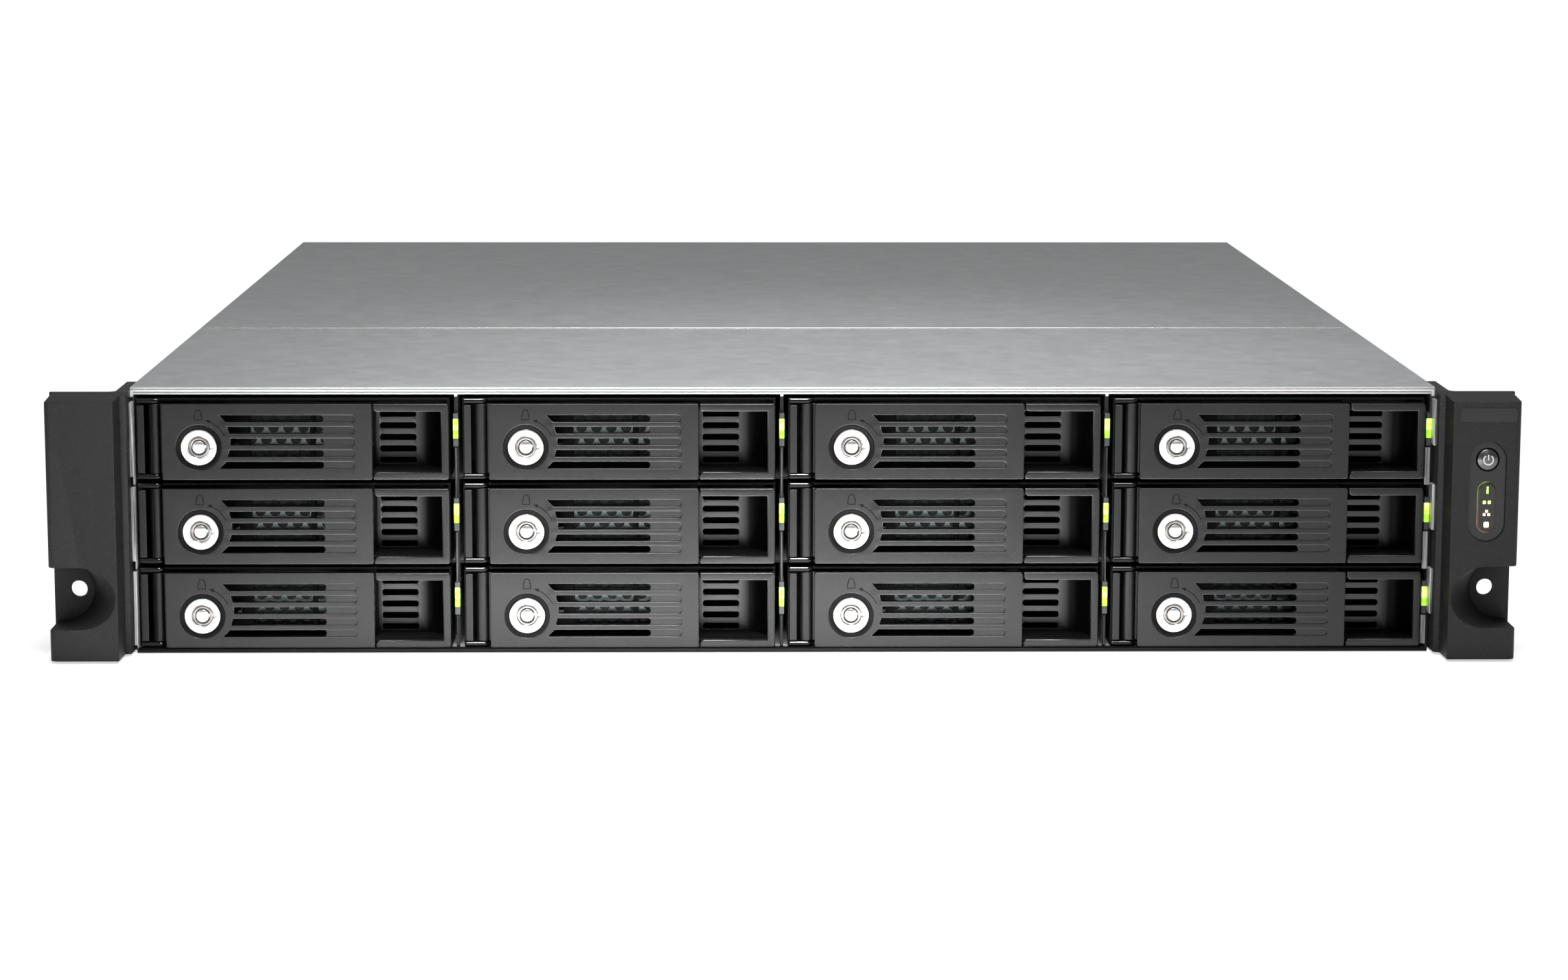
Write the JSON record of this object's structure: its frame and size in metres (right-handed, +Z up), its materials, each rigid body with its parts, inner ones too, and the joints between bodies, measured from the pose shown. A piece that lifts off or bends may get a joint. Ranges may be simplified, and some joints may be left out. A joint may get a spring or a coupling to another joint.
{
  "type": "rackmount storage server",
  "caption": "Two-unit rackmount storage server: sheet steel case with front drive trays on locking hinged levers, moulded rack ears, fans and pull-out power supplies.",
  "frame": {"origin": "middle of the underside, in the plane where the rack flanges seat on the rack", "axes": "+Z up, +Y to the rear, +X to the right seen from the front"},
  "size_m": [0.4812, 0.5619, 0.088],
  "materials": {
    "zinc_steel": "satin zinc plate",
    "cover_steel": "satin zinc plate with faint grain",
    "black_steel": "fine black powder coat",
    "ear_plastic": "fine moulded texture",
    "tray": "dark satin",
    "lever": "satin dark grey",
    "lock_chrome": "polished",
    "light_pipe": "clear",
    "lens": "gloss",
    "board": "solder mask",
    "heatsink": "extruded",
    "connector": "nickel plate",
    "supply": "satin sheet",
    "latch": "moulded",
    "fan": "moulded"
  },
  "bodies": {
    "chassis": {"chassis_base": "zinc_steel", "front_top_cover": "cover_steel", "drive_cage": "zinc_steel", "light_pipes": "light_pipe", "rack_brackets": "black_steel", "left_ear": "ear_plastic", "right_ear": "ear_plastic", "status_lens": "lens", "rear_panel": "zinc_steel", "motherboard": "board", "cpu_heatsink": "heatsink", "io_connectors": "connector", "backplane": "board", "fan_frames": "fan"},
    "rear_cover": {"rear_top_cover": "cover_steel", "cover_screws": "lock_chrome"},
    "button": {"power_button": "lock_chrome"},
    "tray_r1c1": {"tray_r1c1": "tray"},
    "handle_r1c1": {"handle_r1c1": "lever"},
    "lock_r1c1": {"lock_r1c1": "lock_chrome"},
    "tray_r1c2": {"tray_r1c2": "tray"},
    "handle_r1c2": {"handle_r1c2": "lever"},
    "lock_r1c2": {"lock_r1c2": "lock_chrome"},
    "tray_r1c3": {"tray_r1c3": "tray"},
    "handle_r1c3": {"handle_r1c3": "lever"},
    "lock_r1c3": {"lock_r1c3": "lock_chrome"},
    "tray_r1c4": {"tray_r1c4": "tray"},
    "handle_r1c4": {"handle_r1c4": "lever"},
    "lock_r1c4": {"lock_r1c4": "lock_chrome"},
    "tray_r2c1": {"tray_r2c1": "tray"},
    "handle_r2c1": {"handle_r2c1": "lever"},
    "lock_r2c1": {"lock_r2c1": "lock_chrome"},
    "tray_r2c2": {"tray_r2c2": "tray"},
    "handle_r2c2": {"handle_r2c2": "lever"},
    "lock_r2c2": {"lock_r2c2": "lock_chrome"},
    "tray_r2c3": {"tray_r2c3": "tray"},
    "handle_r2c3": {"handle_r2c3": "lever"},
    "lock_r2c3": {"lock_r2c3": "lock_chrome"},
    "tray_r2c4": {"tray_r2c4": "tray"},
    "handle_r2c4": {"handle_r2c4": "lever"},
    "lock_r2c4": {"lock_r2c4": "lock_chrome"},
    "tray_r3c1": {"tray_r3c1": "tray"},
    "handle_r3c1": {"handle_r3c1": "lever"},
    "lock_r3c1": {"lock_r3c1": "lock_chrome"},
    "tray_r3c2": {"tray_r3c2": "tray"},
    "handle_r3c2": {"handle_r3c2": "lever"},
    "lock_r3c2": {"lock_r3c2": "lock_chrome"},
    "tray_r3c3": {"tray_r3c3": "tray"},
    "handle_r3c3": {"handle_r3c3": "lever"},
    "lock_r3c3": {"lock_r3c3": "lock_chrome"},
    "tray_r3c4": {"tray_r3c4": "tray"},
    "handle_r3c4": {"handle_r3c4": "lever"},
    "lock_r3c4": {"lock_r3c4": "lock_chrome"},
    "supply_1": {"power_supply_1": "supply"},
    "latch_1": {"supply_latch_1": "latch"},
    "supply_2": {"power_supply_2": "supply"},
    "latch_2": {"supply_latch_2": "latch"},
    "fan_1": {"fan_rotor_1": "fan"},
    "fan_2": {"fan_rotor_2": "fan"},
    "fan_3": {"fan_rotor_3": "fan"}
  },
  "joints": [
    {"name": "rear_cover_slide", "type": "slide", "parent": "chassis", "child": "rear_cover", "axis": [0, 1, 0], "range_m": [0, 0.012]},
    {"name": "power_button_press", "type": "slide", "parent": "chassis", "child": "button", "axis": [0, 1, 0], "range_m": [0, 0.0012], "stiffness_N_per_m": 300, "springref_m": -0.001},
    {"name": "tray_r1c1_slide", "type": "slide", "parent": "chassis", "child": "tray_r1c1", "axis": [0, -1, 0], "range_m": [0, 0.145]},
    {"name": "handle_r1c1_swing", "type": "hinge", "parent": "tray_r1c1", "child": "handle_r1c1", "pos_m": [-0.2071, 0.004, 0.07025], "axis": [0, 0, -1], "range_deg": [0, 90]},
    {"name": "lock_r1c1_turn", "type": "hinge", "parent": "handle_r1c1", "child": "lock_r1c1", "pos_m": [-0.1925, 0, 0.06845], "axis": [0, -1, 0], "range_deg": [0, 90]},
    {"name": "tray_r1c2_slide", "type": "slide", "parent": "chassis", "child": "tray_r1c2", "axis": [0, -1, 0], "range_m": [0, 0.145]},
    {"name": "handle_r1c2_swing", "type": "hinge", "parent": "tray_r1c2", "child": "handle_r1c2", "pos_m": [-0.0997, 0.004, 0.07025], "axis": [0, 0, -1], "range_deg": [0, 90]},
    {"name": "lock_r1c2_turn", "type": "hinge", "parent": "handle_r1c2", "child": "lock_r1c2", "pos_m": [-0.0851, 0, 0.06845], "axis": [0, -1, 0], "range_deg": [0, 90]},
    {"name": "tray_r1c3_slide", "type": "slide", "parent": "chassis", "child": "tray_r1c3", "axis": [0, -1, 0], "range_m": [0, 0.145]},
    {"name": "handle_r1c3_swing", "type": "hinge", "parent": "tray_r1c3", "child": "handle_r1c3", "pos_m": [0.0077, 0.004, 0.07025], "axis": [0, 0, -1], "range_deg": [0, 90]},
    {"name": "lock_r1c3_turn", "type": "hinge", "parent": "handle_r1c3", "child": "lock_r1c3", "pos_m": [0.0223, 0, 0.06845], "axis": [0, -1, 0], "range_deg": [0, 90]},
    {"name": "tray_r1c4_slide", "type": "slide", "parent": "chassis", "child": "tray_r1c4", "axis": [0, -1, 0], "range_m": [0, 0.145]},
    {"name": "handle_r1c4_swing", "type": "hinge", "parent": "tray_r1c4", "child": "handle_r1c4", "pos_m": [0.1151, 0.004, 0.07025], "axis": [0, 0, -1], "range_deg": [0, 90]},
    {"name": "lock_r1c4_turn", "type": "hinge", "parent": "handle_r1c4", "child": "lock_r1c4", "pos_m": [0.1297, 0, 0.06845], "axis": [0, -1, 0], "range_deg": [0, 90]},
    {"name": "tray_r2c1_slide", "type": "slide", "parent": "chassis", "child": "tray_r2c1", "axis": [0, -1, 0], "range_m": [0, 0.145]},
    {"name": "handle_r2c1_swing", "type": "hinge", "parent": "tray_r2c1", "child": "handle_r2c1", "pos_m": [-0.2071, 0.004, 0.04205], "axis": [0, 0, -1], "range_deg": [0, 90]},
    {"name": "lock_r2c1_turn", "type": "hinge", "parent": "handle_r2c1", "child": "lock_r2c1", "pos_m": [-0.1925, 0, 0.04025], "axis": [0, -1, 0], "range_deg": [0, 90]},
    {"name": "tray_r2c2_slide", "type": "slide", "parent": "chassis", "child": "tray_r2c2", "axis": [0, -1, 0], "range_m": [0, 0.145]},
    {"name": "handle_r2c2_swing", "type": "hinge", "parent": "tray_r2c2", "child": "handle_r2c2", "pos_m": [-0.0997, 0.004, 0.04205], "axis": [0, 0, -1], "range_deg": [0, 90]},
    {"name": "lock_r2c2_turn", "type": "hinge", "parent": "handle_r2c2", "child": "lock_r2c2", "pos_m": [-0.0851, 0, 0.04025], "axis": [0, -1, 0], "range_deg": [0, 90]},
    {"name": "tray_r2c3_slide", "type": "slide", "parent": "chassis", "child": "tray_r2c3", "axis": [0, -1, 0], "range_m": [0, 0.145]},
    {"name": "handle_r2c3_swing", "type": "hinge", "parent": "tray_r2c3", "child": "handle_r2c3", "pos_m": [0.0077, 0.004, 0.04205], "axis": [0, 0, -1], "range_deg": [0, 90]},
    {"name": "lock_r2c3_turn", "type": "hinge", "parent": "handle_r2c3", "child": "lock_r2c3", "pos_m": [0.0223, 0, 0.04025], "axis": [0, -1, 0], "range_deg": [0, 90]},
    {"name": "tray_r2c4_slide", "type": "slide", "parent": "chassis", "child": "tray_r2c4", "axis": [0, -1, 0], "range_m": [0, 0.145]},
    {"name": "handle_r2c4_swing", "type": "hinge", "parent": "tray_r2c4", "child": "handle_r2c4", "pos_m": [0.1151, 0.004, 0.04205], "axis": [0, 0, -1], "range_deg": [0, 90]},
    {"name": "lock_r2c4_turn", "type": "hinge", "parent": "handle_r2c4", "child": "lock_r2c4", "pos_m": [0.1297, 0, 0.04025], "axis": [0, -1, 0], "range_deg": [0, 90]},
    {"name": "tray_r3c1_slide", "type": "slide", "parent": "chassis", "child": "tray_r3c1", "axis": [0, -1, 0], "range_m": [0, 0.145]},
    {"name": "handle_r3c1_swing", "type": "hinge", "parent": "tray_r3c1", "child": "handle_r3c1", "pos_m": [-0.2071, 0.004, 0.01385], "axis": [0, 0, -1], "range_deg": [0, 90]},
    {"name": "lock_r3c1_turn", "type": "hinge", "parent": "handle_r3c1", "child": "lock_r3c1", "pos_m": [-0.1925, 0, 0.01205], "axis": [0, -1, 0], "range_deg": [0, 90]},
    {"name": "tray_r3c2_slide", "type": "slide", "parent": "chassis", "child": "tray_r3c2", "axis": [0, -1, 0], "range_m": [0, 0.145]},
    {"name": "handle_r3c2_swing", "type": "hinge", "parent": "tray_r3c2", "child": "handle_r3c2", "pos_m": [-0.0997, 0.004, 0.01385], "axis": [0, 0, -1], "range_deg": [0, 90]},
    {"name": "lock_r3c2_turn", "type": "hinge", "parent": "handle_r3c2", "child": "lock_r3c2", "pos_m": [-0.0851, 0, 0.01205], "axis": [0, -1, 0], "range_deg": [0, 90]},
    {"name": "tray_r3c3_slide", "type": "slide", "parent": "chassis", "child": "tray_r3c3", "axis": [0, -1, 0], "range_m": [0, 0.145]},
    {"name": "handle_r3c3_swing", "type": "hinge", "parent": "tray_r3c3", "child": "handle_r3c3", "pos_m": [0.0077, 0.004, 0.01385], "axis": [0, 0, -1], "range_deg": [0, 90]},
    {"name": "lock_r3c3_turn", "type": "hinge", "parent": "handle_r3c3", "child": "lock_r3c3", "pos_m": [0.0223, 0, 0.01205], "axis": [0, -1, 0], "range_deg": [0, 90]},
    {"name": "tray_r3c4_slide", "type": "slide", "parent": "chassis", "child": "tray_r3c4", "axis": [0, -1, 0], "range_m": [0, 0.145]},
    {"name": "handle_r3c4_swing", "type": "hinge", "parent": "tray_r3c4", "child": "handle_r3c4", "pos_m": [0.1151, 0.004, 0.01385], "axis": [0, 0, -1], "range_deg": [0, 90]},
    {"name": "lock_r3c4_turn", "type": "hinge", "parent": "handle_r3c4", "child": "lock_r3c4", "pos_m": [0.1297, 0, 0.01205], "axis": [0, -1, 0], "range_deg": [0, 90]},
    {"name": "power_supply_1_slide", "type": "slide", "parent": "chassis", "child": "supply_1", "axis": [0, 1, 0], "range_m": [0, 0.15]},
    {"name": "supply_latch_1_swing", "type": "hinge", "parent": "supply_1", "child": "latch_1", "pos_m": [0.1815, 0.5256, 0.0212], "axis": [0, 0, 1], "range_deg": [0, 14], "stiffness_Nm_per_rad": 0.02, "springref_deg": -11.46},
    {"name": "power_supply_2_slide", "type": "slide", "parent": "chassis", "child": "supply_2", "axis": [0, 1, 0], "range_m": [0, 0.15]},
    {"name": "supply_latch_2_swing", "type": "hinge", "parent": "supply_2", "child": "latch_2", "pos_m": [0.1815, 0.5256, 0.0626], "axis": [0, 0, 1], "range_deg": [0, 14], "stiffness_Nm_per_rad": 0.02, "springref_deg": -11.46},
    {"name": "fan_1_spin", "type": "hinge", "parent": "chassis", "child": "fan_1", "pos_m": [-0.128, 0.2, 0.041], "axis": [0, 1, 0], "continuous": true},
    {"name": "fan_2_spin", "type": "hinge", "parent": "chassis", "child": "fan_2", "pos_m": [0, 0.2, 0.041], "axis": [0, 1, 0], "continuous": true},
    {"name": "fan_3_spin", "type": "hinge", "parent": "chassis", "child": "fan_3", "pos_m": [0.128, 0.2, 0.041], "axis": [0, 1, 0], "continuous": true}
  ]
}
